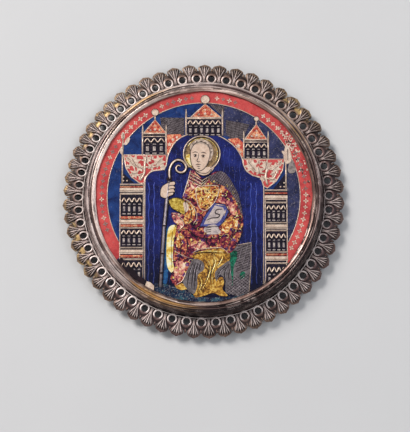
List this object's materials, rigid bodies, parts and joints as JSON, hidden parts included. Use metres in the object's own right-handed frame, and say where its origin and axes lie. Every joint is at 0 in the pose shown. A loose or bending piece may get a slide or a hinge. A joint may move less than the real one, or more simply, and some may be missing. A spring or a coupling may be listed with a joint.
{
  "type": "enamelled medallion",
  "caption": "Round silver medallion with an enamel picture under a bezel, raised collar and pierced cresting of palmettes.",
  "frame": {"origin": "middle of the flat underside, where the medallion lies on the table", "axes": "+Z out of the picture, +Y towards the picture's top, +X to the picture's right"},
  "size_m": [0.1002, 0.1002, 0.0093],
  "materials": {
    "gilt_casting": "cast silver-gilt, worn and dark in the hollows",
    "worn_collar": "raised silver, gilding mostly worn off, fine scratches along it",
    "bright_lip": "burnished silver, uneven by hand",
    "enamel": "translucent enamel on engraved silver, polished, with losses",
    "back_sheet": "plain hammered sheet, dull"
  },
  "bodies": {
    "root": {"back_plate": "back_sheet", "cresting": "gilt_casting", "collar": "worn_collar", "bezel": "bright_lip", "plaque": "enamel"}
  },
  "joints": []
}
